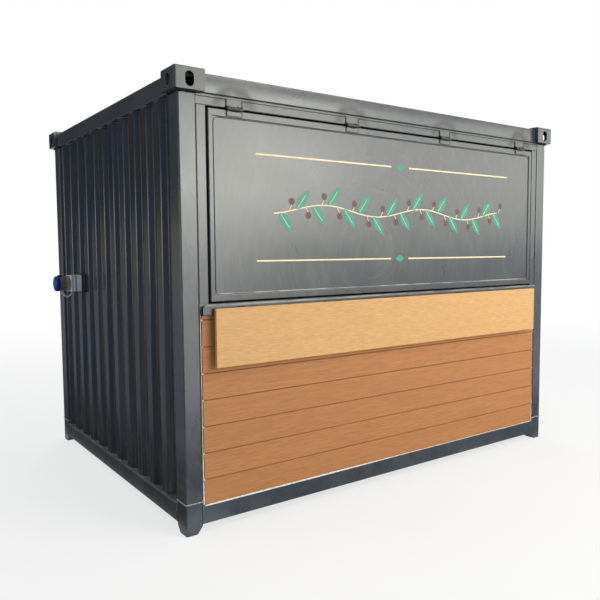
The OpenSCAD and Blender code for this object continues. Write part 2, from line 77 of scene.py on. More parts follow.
# Linear colours.
ANTHRACITE = (0.027, 0.034, 0.043)
ANTHRACITE_PALE = (0.038, 0.045, 0.054)
WALL_BLUE = (0.020, 0.028, 0.041)
WALL_BROWN = (0.029, 0.030, 0.032)
DUST = (0.30, 0.28, 0.25)
# near-black painted shade, inside the castings and on the hatch hinges
PAINTED_SHADE = (0.006, 0.006, 0.006)
TOUCH_UP = (0.010, 0.010, 0.011)
# pale scuffs with painted highlight along the sill's top edge
SCUFF_AND_HIGHLIGHT = (0.46, 0.42, 0.37)
# pale painted highlight on the foot of the hatch seam
PALE_HIGHLIGHT = (0.50, 0.49, 0.46)
BOARD_DARK = (0.37, 0.155, 0.058)
BOARD_PALE = (0.475, 0.207, 0.076)
OAK_DARK = (0.550, 0.302, 0.122)
OAK_PALE = (0.705, 0.408, 0.172)
PLY_DARK = (0.16, 0.085, 0.045)
PLY_PALE = (0.25, 0.14, 0.075)
SEALANT_WHITE = (0.80, 0.79, 0.76)
SEALANT_DIRT = (0.36, 0.33, 0.29)
CREAM = (0.86, 0.74, 0.46)
LEAF_GREEN = (0.045, 0.30, 0.205)
BEAN_BROWN = (0.115, 0.052, 0.030)
FLOOR_GREY = (0.80, 0.80, 0.80)
FLOOR_PALE = (0.83, 0.83, 0.825)
LAMP_COLOUR = (1.0, 0.98, 0.875)
SKY_FILL = (0.38, 0.41, 0.45)
WHITE = (1, 1, 1)


def scaled(colour, factor):
    """A colour made darker or paler by a factor."""
    return tuple(factor * c for c in colour)


class Shader:
    """A material's node tree, written as nested calls. Places are the object's own, in metres."""

    def __init__(self, name, **constants):
        self.material = bpy.data.materials.new(name)
        self.material.use_nodes = True
        self.tree = self.material.node_tree
        self.surface = self.tree.nodes["Principled BSDF"]
        self.place = self.tree.nodes.new("ShaderNodeTexCoord").outputs["Object"]
        split = self.add("ShaderNodeSeparateXYZ", Vector=self.place)
        self.x, self.y, self.z = split.outputs
        for socket, value in constants.items():
            self.surface.inputs[socket.replace("_", " ")].default_value = value

    def put(self, socket, value):
        """Links a socket to another, or sets its value."""
        if isinstance(value, bpy.types.NodeSocket):
            self.tree.links.new(value, socket)
        elif socket.type == "RGBA" and len(value) == 3:
            socket.default_value = (*value, 1)
        else:
            socket.default_value = value

    def add(self, kind, settings=None, **inputs):
        """A new node with its settings and named inputs."""
        node = self.tree.nodes.new(kind)
        for name, value in (settings or {}).items():
            setattr(node, name, value)
        for name, value in inputs.items():
            self.put(node.inputs[name.replace("_", " ")], value)
        return node

    def math(self, operation, a, b=0.0):
        node = self.add("ShaderNodeMath", {"operation": operation})
        self.put(node.inputs[0], a)
        self.put(node.inputs[1], b)
        return node.outputs[0]

    def plus(self, a, b):
        return self.math("ADD", a, b)

    def minus(self, a, b):
        return self.math("SUBTRACT", a, b)

    def times(self, a, b):
        return self.math("MULTIPLY", a, b)

    def larger(self, a, b):
        return self.math("MAXIMUM", a, b)

    def size(self, a):
        return self.math("ABSOLUTE", a)

    def reach(self, a, b):
        """Distance from the middle, by two coordinates."""
        return self.math("SQRT", self.plus(self.math("POWER", a, 2.0), self.math("POWER", b, 2.0)))

    def stretched(self, stretch, shift=(0, 0, 0), turn=(0, 0, 0)):
        """The place, turned and then scaled along each axis."""
        turned = self.add("ShaderNodeMapping", Vector=self.place, Rotation=turn)
        placed = self.add("ShaderNodeMapping", Vector=turned.outputs[0], Scale=stretch, Location=shift)
        return placed.outputs[0]

    def noise(self, scale, detail=3.0, rough=0.5, warp=0.0,
              stretch=(1, 1, 1), shift=(0, 0, 0), turn=(0, 0, 0)):
        """Cloudy noise from 0 to 1, most of it near the middle."""
        node = self.add("ShaderNodeTexNoise", Vector=self.stretched(stretch, shift, turn),
                        Scale=scale, Detail=detail, Roughness=rough, Distortion=warp)
        return node.outputs[0]

    def span(self, value, low, high, to_low=0.0, to_high=1.0):
        """Smooth step of a value from low to high."""
        node = self.add("ShaderNodeMapRange", {"interpolation_type": "SMOOTHSTEP"}, Value=value,
                        From_Min=low, From_Max=high, To_Min=to_low, To_Max=to_high)
        return node.outputs[0]

    def mix(self, share, a, b):
        """Colour a with a share of colour b."""
        node = self.add("ShaderNodeMix", {"data_type": "RGBA"})
        self.put(node.inputs[0], share)
        self.put(node.inputs[6], a)
        self.put(node.inputs[7], b)
        return node.outputs[2]

    def bump(self, height, depth, under=None):
        """A bump of a height from 0 to 1 that stands for a depth in metres."""
        node = self.add("ShaderNodeBump", Height=height, Distance=depth, Strength=1.0)
        if under is not None:
            self.put(node.inputs["Normal"], under)
        return node.outputs[0]

    def upward(self):
        """1 on faces that look up, 0 on upright ones."""
        normal = self.tree.nodes.new("ShaderNodeTexCoord").outputs["Normal"]
        split = self.add("ShaderNodeSeparateXYZ", Vector=normal)
        return self.span(split.outputs[2], 0.6, 0.95)

    def finish(self, colour, rough, normal=None):
        """Links the shader's colour, roughness and normal, and gives the material."""
        self.put(self.surface.inputs["Base Color"], colour)
        self.put(self.surface.inputs["Roughness"], rough)
        if normal is not None:
            self.put(self.surface.inputs["Normal"], normal)
        return self.material


def dusted(s, colour, ground=0.32):
    """Colour with dust lying on ledges, most of it low down, and splashed up from the ground."""
    patches = s.noise(9, 5, 0.65, 0.4)
    depth = s.span(s.z, 0.9, 0.3, 1.0, 1.8)
    ledge = s.times(s.times(s.upward(), depth), s.span(patches, 0.25, 0.75, 0.12, 0.45))
    splash = s.times(s.span(s.z, ground, 0.0), s.span(patches, 0.35, 0.8, 0.0, 0.16))
    return s.mix(s.larger(ledge, splash), colour, DUST)


def casting_inside(s):
    """1 inside the corner castings and in their slots, which are painted near-black there as painted
    shade; 0 on their outer faces.
    """
    low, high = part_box("casting_rear_right")
    nearest = 1.0
    for place, near, far in zip((s.size(s.x), s.size(s.y), s.z), low, high):
        nearest = s.math("MINIMUM", nearest, s.minus(place, near))
        nearest = s.math("MINIMUM", nearest, s.minus(far, place))
    return s.span(nearest, 0.002, 0.007)


def frame_paint(name, cast=False, wear_and_highlight=None):
    """Semi-gloss anthracite on the welded frame: brushed on, dusty on ledges, scuffed with painted
    highlight above a height.
    """
    s = Shader(name, Specular_IOR_Level=0.75)
    cloud = s.noise(2.2, 4, 0.6, 0.6)
    colour = dusted(s, s.mix(s.span(cloud, 0.3, 0.7), ANTHRACITE, ANTHRACITE_PALE))
    brush = s.noise(14, 4, 0.6, 0.3, stretch=(1, 1, 0.25))
    rough = s.span(brush, 0.25, 0.75, 0.28, 0.36)
    if wear_and_highlight is not None:
        # scuffed wear and painted highlight: a pale patchy band along the top of the sill
        scuffs = s.noise(30, 5, 0.65, 0.3, stretch=(0.25, 1, 1))
        edge = s.times(s.span(s.z, wear_and_highlight - 0.009, wear_and_highlight), s.span(scuffs, 0.38, 0.60, 0.15, 1.0))
        colour = s.mix(s.times(edge, 0.7), colour, SCUFF_AND_HIGHLIGHT)
    if cast:
        # painted shade: the castings' insides and slots made near-black and rough
        inside = casting_inside(s)
        colour = s.mix(inside, colour, PAINTED_SHADE)
        rough = s.larger(rough, s.times(inside, 0.85))
    peel = s.bump(s.noise(320, 2, 0.5), 0.00025, s.bump(s.noise(18, 2), 0.0007))
    return s.finish(colour, rough, peel)


def swept(s):
    """Streaks along arcs round a point on the hatch, as an arm wipes."""
    wipe_x, wipe_z, drift = -0.25, 1.55, 0.12
    reach = s.reach(s.minus(s.x, wipe_x), s.minus(s.z, wipe_z))
    bent = s.add("ShaderNodeCombineXYZ", X=reach, Y=s.times(s.x, drift), Z=s.times(s.z, drift))
    streaks = s.add("ShaderNodeTexNoise", Vector=bent.outputs[0],
                    Scale=30.0, Detail=4.0, Roughness=0.6, Distortion=0.15)
    return streaks.outputs[0]


def hinge_place(s):
    """Place across and above the pin of the nearest hatch hinge."""
    spare = 10                                   # whole pitches, which keep the place above 0
    along = s.plus(s.x, (HINGE_COUNT / 2 + spare) * HINGE_PITCH)
    across = s.minus(s.math("MODULO", along, HINGE_PITCH), HINGE_PITCH / 2)
    return across, s.minus(s.z, HINGE_PIN_Z)


def touched_up(s, across, up):
    """1 on the soft arch of later paint over each hatch hinge."""
    ragged = s.plus(s.reach(across, up), s.span(s.noise(16, 3), 0.2, 0.8, -0.012, 0.012))
    arch = s.times(s.span(ragged, 0.158, 0.105), s.span(ragged, 0.050, 0.115, 0.12, 1.0))
    return s.times(arch, s.span(up, 0.0, 0.03))


def hinge_darkening(s, across, up):
    """1 over a hinge's knuckles and along the edges of its leaves, where the paint is darkened as painted
    shade.
    """
    half = HINGE_WIDTH / 2
    knuckle = s.span(s.size(up), 0.015, 0.010)
    sides = s.span(s.size(across), half - 0.0085, half - 0.0045)
    top = s.span(up, UPPER_LEAF - 0.005, UPPER_LEAF - 0.001)
    foot = s.span(up, 0.005 - LOWER_LEAF, 0.001 - LOWER_LEAF)
    return s.larger(knuckle, s.larger(sides, s.larger(top, foot)))


def front_paint(name, hinge=False, crown=None):
    """The frame's paint on the hatch and round it: wiping marks, and arches where it was touched up.

    A rail's face is slightly crowned between two heights, as rolled tube is.
    """
    s = Shader(name, Specular_IOR_Level=0.75)
    wipes = s.noise(3.6, 3, 0.5, 1.0, stretch=(1.0, 1.0, 0.7), turn=(0, math.radians(28), 0))
    fine = s.noise(26, 4, 0.6, 0.8, stretch=(1.0, 1.0, 0.12), turn=(0, math.radians(-14), 0))
    patches = s.noise(2.4, 2, 0.5, 0.6, shift=(3, 0, 5))
    strokes = s.times(s.span(swept(s), 0.46, 0.74), s.span(patches, 0.30, 0.62))
    across, up = hinge_place(s)
    ring = touched_up(s, across, up)
    haze = s.plus(s.times(s.span(wipes, 0.42, 0.75), 0.06), s.times(strokes, 0.09))
    colour = s.mix(haze, s.mix(s.span(fine, 0.3, 0.7), ANTHRACITE, ANTHRACITE_PALE), DUST)
    colour = dusted(s, s.mix(s.times(ring, 0.7), colour, TOUCH_UP))
    film = s.plus(s.span(wipes, 0.25, 0.75, 0.27, 0.31), s.times(strokes, 0.035))
    rough = s.plus(film, s.times(ring, 0.20))
    if hinge:
        # painted shade: the knuckles and the leaves' edges made near-black and rougher
        darkening = hinge_darkening(s, across, up)
        colour = s.mix(s.times(darkening, 0.85), colour, PAINTED_SHADE)
        rough = s.plus(rough, s.times(darkening, 0.3))
    sway = s.bump(s.noise(2.6, 1, 0.4), 0.0030)
    if crown is not None:
        low, high = crown
        share = s.math("DIVIDE", s.minus(s.z, low), high - low)
        bow = s.times(s.times(share, s.minus(1.0, share)), 4.0)
        sway = s.bump(bow, 0.003, sway)
    peel = s.bump(s.noise(320, 2, 0.5), 0.0002, sway)
    return s.finish(colour, rough, peel)


def wall_paint(name, gloss, rough_low, rough_high):
    """Flatter anthracite on the corrugated sheet, with rain streaks down it and dust at its foot."""
    s = Shader(name, Specular_IOR_Level=gloss)
    streaks = s.noise(16, 5, 0.6, 0.25, stretch=(1, 1, 0.035))
    fall = s.times(s.span(streaks, 0.45, 0.72), s.span(s.z, 2.3, 0.9, 0.2, 1.0))
    colour = s.mix(s.span(s.noise(3, 3), 0.35, 0.65), WALL_BLUE, WALL_BROWN)
    colour = dusted(s, s.mix(s.times(fall, 0.10), colour, DUST), 0.45)
    rough = s.span(streaks, 0.3, 0.7, rough_low, rough_high)
    dents = s.bump(s.noise(7, 2, 0.5), 0.0010, s.bump(s.noise(300, 2), 0.0002))
    return s.finish(colour, rough, dents)


def board(name, dark, pale, row_height, first_row, gloss, fineness):
    """Wood-plastic board: embossed wavy grain along X, each row of boards a little different in tone."""
    s = Shader(name, Specular_IOR_Level=gloss)
    row = s.math("FLOOR", s.math("DIVIDE", s.minus(s.z, first_row), row_height))
    tone = s.add("ShaderNodeTexWhiteNoise", {"noise_dimensions": "1D"}, W=row).outputs[0]
    slide = s.add("ShaderNodeCombineXYZ", X=s.times(tone, 7.0), Y=0.0, Z=s.times(row, 0.37))
    place = s.add("ShaderNodeVectorMath", {"operation": "ADD"})
    s.put(place.inputs[0], s.place)
    s.put(place.inputs[1], slide.outputs[0])
    s.place = place.outputs[0]
    wander = s.noise(1.6, 3, 0.5, 0.3, stretch=(0.4, 1, 3))
    bands = s.noise(34, 4, 0.6, 0.25, stretch=(0.05, 0.5, 1))
    fibre = s.noise(125 * fineness, 4, 0.65, 0.1, stretch=(0.045, 0.5, 1))
    flecks = s.span(s.noise(165 * fineness, 3, 0.6, 0.1, stretch=(0.07, 0.5, 1)), 0.54, 0.66)
    grain = s.plus(s.times(bands, 0.16), s.times(fibre, 0.84))
    colour = s.mix(s.span(grain, 0.36, 0.64), dark, pale)
    colour = s.mix(s.span(wander, 0.35, 0.7, 0.0, 0.15), colour, pale)
    colour = s.mix(s.times(flecks, 0.16), colour, scaled(dark, 0.60))
    colour = s.mix(s.span(tone, 0.0, 1.0, 0.0, 0.20), colour, dark)
    emboss = s.bump(grain, 0.0007, s.bump(s.minus(1.0, flecks), 0.0003))
    return s.finish(colour, s.span(fibre, 0.3, 0.7, 0.56, 0.70), emboss)


def plywood():
    """Film-faced floor plywood: brown, scuffed by shoes."""
    s = Shader("plywood", Specular_IOR_Level=0.3)
    grain = s.noise(9, 5, 0.6, 1.0, stretch=(0.14, 1, 1))
    scuffs = s.span(s.noise(6, 6, 0.7, 1.4), 0.55, 0.75, 0.0, 0.4)
    colour = s.mix(scuffs, s.mix(s.span(grain, 0.3, 0.7), PLY_DARK, PLY_PALE), DUST)
    return s.finish(colour, s.span(grain, 0.3, 0.7, 0.5, 0.68), s.bump(grain, 0.0006))


def steel(name, dark, pale):
    """Plated steel with cloudy patches."""
    s = Shader(name, Metallic=1.0)
    clouds = s.noise(60, 5, 0.65, 0.5)
    colour = s.mix(s.span(clouds, 0.3, 0.7), dark, pale)
    rough = s.span(s.noise(120, 4), 0.3, 0.7, 0.32, 0.5)
    return s.finish(colour, rough, s.bump(s.noise(260, 2), 0.0002))


def plastic(name, colour, pale, gloss, rough, dark_lines=(), band=None):
    """Moulded plastic with a finely pitted skin, faded in patches.

    It may have darker lines at places along X, or a paler band beyond one.
    """
    s = Shader(name, Specular_IOR_Level=gloss)
    cloud = s.noise(24, 4, 0.6, 0.5)
    tint = s.mix(s.span(cloud, 0.35, 0.75), colour, pale)
    smears = s.noise(45, 5, 0.65, 0.4, stretch=(1, 1, 0.3))
    tint = s.mix(s.times(s.span(smears, 0.5, 0.75), 0.35), tint, scaled(colour, 0.45))
    for x in dark_lines:
        line = s.span(s.size(s.minus(s.x, x)), 0.0042, 0.0022)
        tint = s.mix(s.times(line, 0.75), tint, scaled(colour, 0.18))
    if band is not None:
        tint = s.mix(s.span(s.x, band - 0.002, band), tint, scaled(pale, 1.9))
    return s.finish(tint, s.span(cloud, 0.3, 0.7, rough, rough + 0.12), s.bump(s.noise(700, 2), 0.00015))


def weld(name, dark, pale, gloss=0.8, wear_and_highlight=None):
    """Weld bead, its ripples catching the light; below a height it is painted pale, a painted highlight.
    """
    s = Shader(name, Specular_IOR_Level=gloss)
    spots = s.noise(120, 4, 0.6)
    colour = s.mix(s.span(spots, 0.35, 0.7), dark, pale)
    if wear_and_highlight is not None:
        patches = s.span(s.noise(9, 3), 0.35, 0.6, 0.35, 1.0)
        # painted highlight: pale patches on the bead below the height
        colour = s.mix(s.times(s.span(s.z, wear_and_highlight + 0.012, wear_and_highlight), patches), colour, PALE_HIGHLIGHT)
    return s.finish(colour, s.span(spots, 0.3, 0.7, 0.36, 0.55), s.bump(s.noise(260, 3), 0.0006))


def sealant():
    """White sealant, smeared and picking up dirt."""
    s = Shader("sealant", Specular_IOR_Level=0.4)
    dirt = s.span(s.noise(38, 5, 0.65, 0.6), 0.45, 0.75, 0.0, 0.55)
    colour = s.mix(dirt, SEALANT_WHITE, SEALANT_DIRT)
    return s.finish(colour, s.span(dirt, 0.0, 0.5, 0.5, 0.7), s.bump(s.noise(90, 3), 0.0008))


def print_film(name, colour):
    """Flat painted decoration, slightly mottled, a little worn through."""
    s = Shader(name, Specular_IOR_Level=0.5)
    mottle = s.noise(60, 4, 0.6)
    wear_and_highlight = s.span(s.noise(34, 5, 0.7, 0.5), 0.66, 0.80, 0.0, 0.35)
    tint = s.mix(s.span(mottle, 0.3, 0.7), scaled(colour, 0.86), colour)
    return s.finish(s.mix(wear_and_highlight, tint, ANTHRACITE_PALE), s.span(mottle, 0.3, 0.7, 0.5, 0.62))


# Heights and places where a finish changes.
# above this height the sill is painted pale: scuffs and painted highlight
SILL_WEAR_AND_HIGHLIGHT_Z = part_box("front_sill")[1].z - 0.003
# below this height the hatch seam is painted pale as painted highlight
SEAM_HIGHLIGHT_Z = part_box("hatch_rail_bottom")[1].z + 0.007
BODY_BAND_X = BOX_LOW.x - 0.026
BOX_DARK_LINES = [BOX_LOW.x + share * (BOX_HIGH.x - BOX_LOW.x) for share in (0.14, 0.42, 0.52)]

FRAME_PAINT = frame_paint("frame_paint")
CAST_PAINT = frame_paint("casting_paint", cast=True)
SILL_PAINT = frame_paint("sill_paint", wear_and_highlight=SILL_WEAR_AND_HIGHLIGHT_Z)
FRONT_PAINT = front_paint("front_paint")
HINGE_PAINT = front_paint("hinge_paint", hinge=True)
RAIL_PAINT = front_paint("rail_paint", crown=[corner.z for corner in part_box("top_rail_front")])
WALL_PAINT = wall_paint("wall_paint", gloss=0.45, rough_low=0.21, rough_high=0.30)
ROOF_PAINT = wall_paint("roof_paint", gloss=0.20, rough_low=0.66, rough_high=0.80)
CLADDING = board("cladding_wood", BOARD_DARK, BOARD_PALE, row_height=BOARD_PITCH, first_row=RAIL_TOP,
                 gloss=0.3, fineness=1.6)
OAK = board("counter_wood", OAK_DARK, OAK_PALE, row_height=1.0, first_row=0.5, gloss=0.35, fineness=2.2)
PLYWOOD = plywood()
BLACK_STEEL = steel("hinge_steel", (0.045, 0.046, 0.048), (0.085, 0.085, 0.083))
ZINC = steel("chain_zinc", (0.66, 0.67, 0.69), (0.84, 0.84, 0.84))
INLET_DARK = plastic("inlet_dark", (0.024, 0.030, 0.042), (0.045, 0.052, 0.066), gloss=0.5, rough=0.42)
INLET_LIGHT = plastic("inlet_light", (0.60, 0.62, 0.72), (0.70, 0.72, 0.81), gloss=0.5, rough=0.42,
                      dark_lines=BOX_DARK_LINES)
INLET_GREY = plastic("inlet_grey", (0.085, 0.074, 0.060), (0.120, 0.106, 0.088), gloss=0.35, rough=0.45,
                     band=BODY_BAND_X)
INLET_BLUE = plastic("inlet_blue", (0.001, 0.012, 0.20), (0.003, 0.024, 0.30), gloss=0.20, rough=0.16)
WELD = weld("weld_paint", (0.050, 0.053, 0.057), (0.15, 0.15, 0.145))
WELD_PALE = weld("weld_worn", (0.16, 0.16, 0.155), (0.48, 0.47, 0.45))
# near-black beads: painted shade under the castings and at the hinges, and the header's dark joint
DARK_JOINT_AND_SHADE = weld("joint_and_shade_dark", (0.003, 0.003, 0.004), (0.010, 0.010, 0.011), gloss=0.15)
# painted shade along the hatch panel's recessed edge, with painted highlight at its foot
SEAM = weld("seam_shade_and_highlight", (0.010, 0.011, 0.012), (0.030, 0.031, 0.032), wear_and_highlight=SEAM_HIGHLIGHT_Z)
SEALANT = sealant()
PRINT_CREAM = print_film("print_cream", CREAM)
PRINT_GREEN = print_film("print_green", LEAF_GREEN)
PRINT_BROWN = print_film("print_brown", BEAN_BROWN)

# Finish of each CAD node, by the start of its name. The others have the frame's paint.
FINISHES = {
    HINGE_PAINT: ["hatch_hinge"],
    RAIL_PAINT: ["top_rail_front"],
    FRONT_PAINT: ["front_header", "hatch_", "front_jamb", "post_front"],
    CAST_PAINT: ["casting"],
    SILL_PAINT: ["front_sill"],
    WALL_PAINT: ["left_wall", "right_wall", "rear_wall"],
    ROOF_PAINT: ["roof"],
    CLADDING: ["front_cladding"],
    OAK: ["counter_board"],
    PLYWOOD: ["floor_deck"],
    BLACK_STEEL: ["counter_hinge"],
    INLET_DARK: ["inlet_base"],
    INLET_LIGHT: ["inlet_box"],
    INLET_GREY: ["inlet_body"],
    INLET_BLUE: ["inlet_cap"],
}
for name, node in nodes.items():
    finish = next((m for m, starts in FINISHES.items() if name.startswith(tuple(starts))), FRAME_PAINT)
    node.data.materials.clear()
    node.data.materials.append(finish)


def marked_edges(name, low, high):
    """Node group that marks for rounding the edges whose faces meet at between two angles in degrees."""
    group = bpy.data.node_groups.new(name, "GeometryNodeTree")
    for way in ("INPUT", "OUTPUT"):
        group.interface.new_socket("Geometry", in_out=way, socket_type="NodeSocketGeometry")
    begin, end = group.nodes.new("NodeGroupInput"), group.nodes.new("NodeGroupOutput")
    angle = group.nodes.new("GeometryNodeInputMeshEdgeAngle").outputs["Unsigned Angle"]
    within = group.nodes.new("ShaderNodeMath")
    within.operation = "COMPARE"
    within.inputs[1].default_value = math.radians((low + high) / 2)
    within.inputs[2].default_value = math.radians((high - low) / 2)
    store = group.nodes.new("GeometryNodeStoreNamedAttribute")
    store.data_type, store.domain = "FLOAT", "EDGE"
    store.inputs["Name"].default_value = "bevel_weight_edge"
    group.links.new(angle, within.inputs[0])
    group.links.new(within.outputs[0], store.inputs["Value"])
    group.links.new(begin.outputs[0], store.inputs["Geometry"])
    group.links.new(store.outputs[0], end.inputs[0])
    return group


def eased(node, width, marks=None):
    """Closes a CAD node's mesh and rounds its marked edges, or else all its sharp ones."""
    node.modifiers.new("close", "WELD").merge_threshold = 0.00002
    if marks:
        node.modifiers.new("marks", "NODES").node_group = marks
    ease = node.modifiers.new("eased_edges", "BEVEL")
    ease.width, ease.segments = width, 3
    ease.limit_method, ease.angle_limit = "WEIGHT" if marks else "ANGLE", math.radians(28)
    ease.use_clamp_overlap = not marks
    ease.harden_normals = True


BENDS = marked_edges("sheet_bends", 30, 80)
BEND_WIDTH = 0.012
EDGE_WIDTHS = {
    0.003: ["foot"],
    0.002: ["front_sill"],
    0.0012: ["hatch_hinge", "inlet_base", "inlet_box", "inlet_body"],
}
for name, node in nodes.items():
    if name.endswith("_wall") or name == "roof":
        eased(node, BEND_WIDTH, BENDS)
    for width, starts in EDGE_WIDTHS.items():
        if name.startswith(tuple(starts)):
            eased(node, width)


def piece(name, bm, material, body):
    """Turns a bmesh into a piece that rides on a body."""
    bmesh.ops.recalc_face_normals(bm, faces=bm.faces)
    mesh = bpy.data.meshes.new(name)
    bm.to_mesh(mesh)
    bm.free()
    mesh.materials.append(material)
    obj = bpy.data.objects.new(name, mesh)
    bpy.context.scene.collection.objects.link(obj)
    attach(obj, body)


def resampled(points, step):
    """Points at about even steps along a polyline."""
    out = [Vector(points[0])]
    for a, b in zip(points, points[1:]):
        a, b = Vector(a), Vector(b)
        count = max(1, round((b - a).length / step))
        out += [a.lerp(b, i / count) for i in range(1, count + 1)]
    return out


def sweep(bm, points, radius, sides=8, ripple=0.0, wobble=0.0, closed=False):
    """Sweeps a round bead along points, with a ripple on every second ring and a random wobble."""
    rings = []
    last = len(points) - 1
    for i, p in enumerate(points):
        ahead = points[(i + 1) % len(points)] if closed else points[min(i + 1, last)]
        behind = points[i - 1] if closed or i else points[0]
        along = (ahead - behind).normalized()
        side = along.cross(Vector((0, 0, 1)) if abs(along.z) < 0.9 else Vector((0, 1, 0))).normalized()
        up = side.cross(along)
        r = radius(i / max(last, 1)) if callable(radius) else radius
        r *= 1 + ripple * (i % 2) + random.uniform(-wobble, wobble)
        rings.append([bm.verts.new(p + r * (math.cos(t) * side + math.sin(t) * up))
                      for t in (2 * math.pi * k / sides for k in range(sides))])
    pairs = list(zip(rings, rings[1:])) + ([(rings[-1], rings[0])] if closed else [])
    for a, b in pairs:
        for k in range(sides):
            bm.faces.new((a[k], a[(k + 1) % sides], b[(k + 1) % sides], b[k]))
    if not closed:
        bm.faces.new(rings[0])
        bm.faces.new(rings[-1])
    for f in bm.faces:
        f.smooth = True


BEAD_STEP = 0.006
BEAD_SIDES = 6


def bead(bm, line, radius, ripple, wobble, step=BEAD_STEP):
    """An open bead along a polyline."""
    sweep(bm, resampled(line, step), radius, BEAD_SIDES, ripple, wobble)


def post_welds():
    """Rippled beads round the posts, worn pale at the feet, and near-black at the castings as painted
    shade under their overhang.
    """
    for name, z, radius, finish in (("weld_beads_feet", FOOT_TOP, 0.0034, WELD_PALE),
                                    ("weld_beads_castings", POST_TOP, 0.0090, DARK_JOINT_AND_SHADE)):
        bm = bmesh.new()
        for post in ("front_left", "rear_left", "front_right", "rear_right"):
            low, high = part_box(f"post_{post}")
            ring = [(low.x, low.y, z), (high.x, low.y, z), (high.x, high.y, z), (low.x, high.y, z)]
            points = resampled(ring + ring[:1], BEAD_STEP)[:-1]
            sweep(bm, points, radius, BEAD_SIDES, 0.22, 0.30, closed=True)
        piece(name, bm, finish, "kiosk")


def rail_welds():
    """Upright beads at both ends of every rail."""
    from_edge = 0.006
    places = []
    for y in (FRONT_Y, -FRONT_Y):
        for name, radius in (("top_rail_front", 0.004), ("bottom_rail_front", 0.0022)):
            low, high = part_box(name)
            places += [(x, y, low.z, high.z, radius) for x in (low.x, high.x)]
    for name, radius in (("top_rail_left", 0.004), ("bottom_rail_left", 0.0035)):
        low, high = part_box(name)
        places += [(x, y, low.z, high.z, radius) for x in (low.x, -low.x) for y in (low.y, high.y)]
    bm = bmesh.new()
    for x, y, low_z, high_z, radius in places:
        bead(bm, [(x, y, low_z + from_edge), (x, y, high_z - from_edge)], radius, 0.22, 0.15)
    piece("weld_beads_frame", bm, WELD, "kiosk")


def corrugated_line(span):
    """Outer surface of a wall sheet from end to end, as pairs of place along it and depth."""
    valley, run, depth = WALL["valley"], WALL["run"], WALL["depth"]
    count = math.floor((span - valley - 2 * run - 2 * WALL["flat"]) / WALL["pitch"]) + 1
    line = [(-span / 2, 0.0)]
    for i in range(count):
        middle = (i - (count - 1) / 2) * WALL["pitch"]
        left, right = middle - valley / 2, middle + valley / 2
        line += [(left - run, 0.0), (left, depth), (right, depth), (right + run, 0.0)]
    line.append((span / 2, 0.0))
    return line


def wall_welds():
    """Beads along the foot and the head of the corrugated walls."""
    left_low, left_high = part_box("left_wall")
    rear_low, rear_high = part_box("rear_wall")
    end_line = corrugated_line(left_high.y - left_low.y)
    rear_line = corrugated_line(rear_high.x - rear_low.x)
    bm = bmesh.new()
    for z in (RAIL_TOP, POST_TOP):
        for line in ([(left_low.x + depth, along, z) for along, depth in end_line],
                     [(-left_low.x - depth, along, z) for along, depth in end_line],
                     [(along, rear_high.y - depth, z) for along, depth in rear_line]):
            bead(bm, line, 0.0035, 0.15, 0.2, step=0.016)
    piece("weld_beads_walls", bm, WELD, "kiosk")


def sealant_lines():
    """White sealant beside the boards' ends, along their foot, and squeezed out of the joints' ends."""

    def side_radius(share):
        """Full at the foot, thinner above the lowest third."""
        return 0.0052 - 0.0026 * min(1.0, 3 * share)

    def foot_radius(share):
        """Full near the left end, thinner from about a third on."""
        return 0.0048 - 0.0032 * min(1.0, max(0.0, (share - 0.30) * 4))

    post_in = -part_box("post_front_left")[1].x
    gap_x = CLAD_HIGH.x + 0.4 * (post_in - CLAD_HIGH.x)
    foot_z = RAIL_TOP + 0.001
    spot_radius = 0.0045
    bm = bmesh.new()
    for side in (-1, 1):
        line = [(side * gap_x, CLAD_LOW.y + 0.006, RAIL_TOP + 0.004),
                (side * gap_x, CLAD_LOW.y + 0.008, CLAD_HIGH.z)]
        sweep(bm, resampled(line, 0.014), side_radius, wobble=0.16)
        for i in range(1, BOARD_JOINTS + 1):
            joint_z = RAIL_TOP + i * BOARD_PITCH - 0.0015
            joint = Vector((side * (CLAD_HIGH.x + 0.001), CLAD_LOW.y + 0.001, joint_z))
            for v in bmesh.ops.create_icosphere(bm, subdivisions=2, radius=spot_radius)["verts"]:
                v.co = joint + Vector((v.co.x, v.co.y * 0.6, v.co.z * random.uniform(0.9, 1.1)))
    foot = [(-CLAD_HIGH.x, CLAD_LOW.y, foot_z), (CLAD_HIGH.x, CLAD_LOW.y, foot_z)]
    sweep(bm, resampled(foot, 0.02), foot_radius, wobble=0.2)
    piece("sealant_lines", bm, SEALANT, "kiosk")


def hatch_seam():
    """Dark bead where the hatch panel meets its frame, round at the corners: painted shade at the panel's
    recessed edge, painted highlight along its foot.
    """
    left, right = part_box("hatch_stile_left")[1].x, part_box("hatch_stile_right")[0].x
    low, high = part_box("hatch_rail_bottom")[1].z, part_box("hatch_rail_top")[0].z
    inset, corner, lift, turns = 0.004, 0.030, 0.0004, 8
    inward = inset + corner
    points = []
    for x, z, start in ((right - inward, high - inward, 0), (left + inward, high - inward, 90),
                        (left + inward, low + inward, 180), (right - inward, low + inward, 270)):
        centre = Vector((x, PANEL_Y - lift, z))
        for i in range(turns + 1):
            t = math.radians(start + 90 * i / turns)
            points.append(centre + corner * Vector((math.cos(t), 0, math.sin(t))))
    bm = bmesh.new()
    sweep(bm, resampled(points + points[:1], 0.02)[:-1], 0.0028, BEAD_SIDES, wobble=0.12, closed=True)
    piece("hatch_seam", bm, SEAM, "hatch")


def flat_shape(bm, outline, lift):
    """Adds a flat shape from its (x, z) outline, a paint film's lift in front of the hatch panel."""
    bm.faces.new([bm.verts.new((x, PANEL_Y - lift, z)) for x, z in outline])


